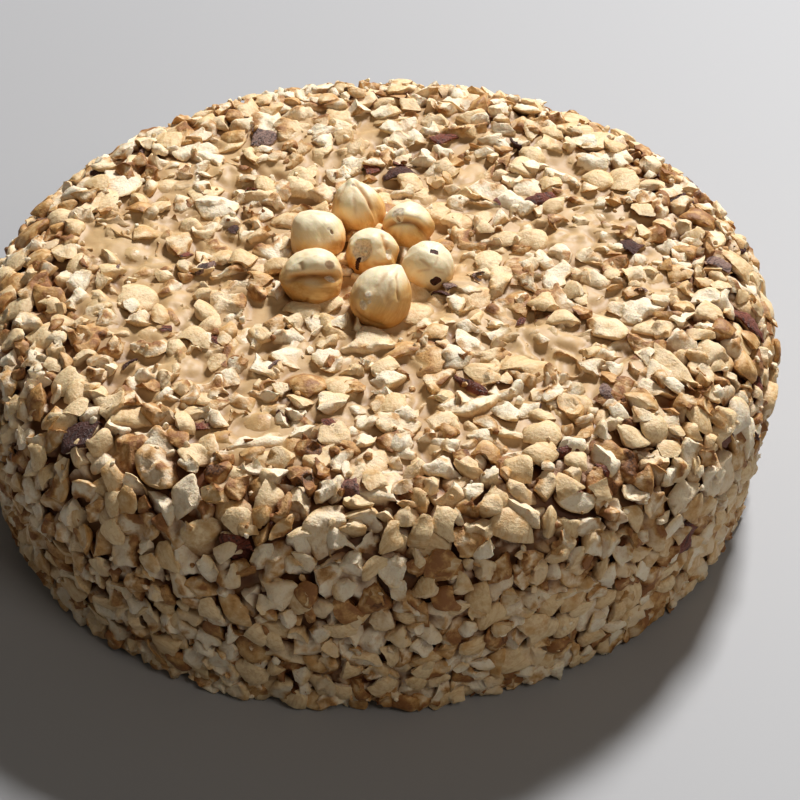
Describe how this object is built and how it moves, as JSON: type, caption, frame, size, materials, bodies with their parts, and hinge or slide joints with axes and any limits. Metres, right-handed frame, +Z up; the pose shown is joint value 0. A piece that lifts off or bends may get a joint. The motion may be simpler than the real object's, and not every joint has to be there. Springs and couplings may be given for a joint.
{
  "type": "ice cream cake",
  "caption": "Round ice cream cake with a rounded shoulder, coated with coffee-coloured cream and chopped hazelnuts, with a cluster of whole blanched hazelnuts on top.",
  "frame": {"origin": "on the cake's axis, in the plane of its flat underside", "axes": "+Z up out of the top, +X to the right and -Y towards someone who looks at the cake from the front"},
  "size_m": [0.1937, 0.1925, 0.0646],
  "materials": {
    "cream_and_chopped_nuts": "matte, slightly moist cream with chopped nuts",
    "whole_nut": "satin, blanched kernel"
  },
  "bodies": {
    "root": {"cake_body": "cream_and_chopped_nuts", "hazelnut_middle": "whole_nut", "hazelnut_front": "whole_nut", "hazelnut_front_left": "whole_nut", "hazelnut_left": "whole_nut", "hazelnut_back": "whole_nut", "hazelnut_back_right": "whole_nut", "hazelnut_right": "whole_nut"}
  },
  "joints": []
}
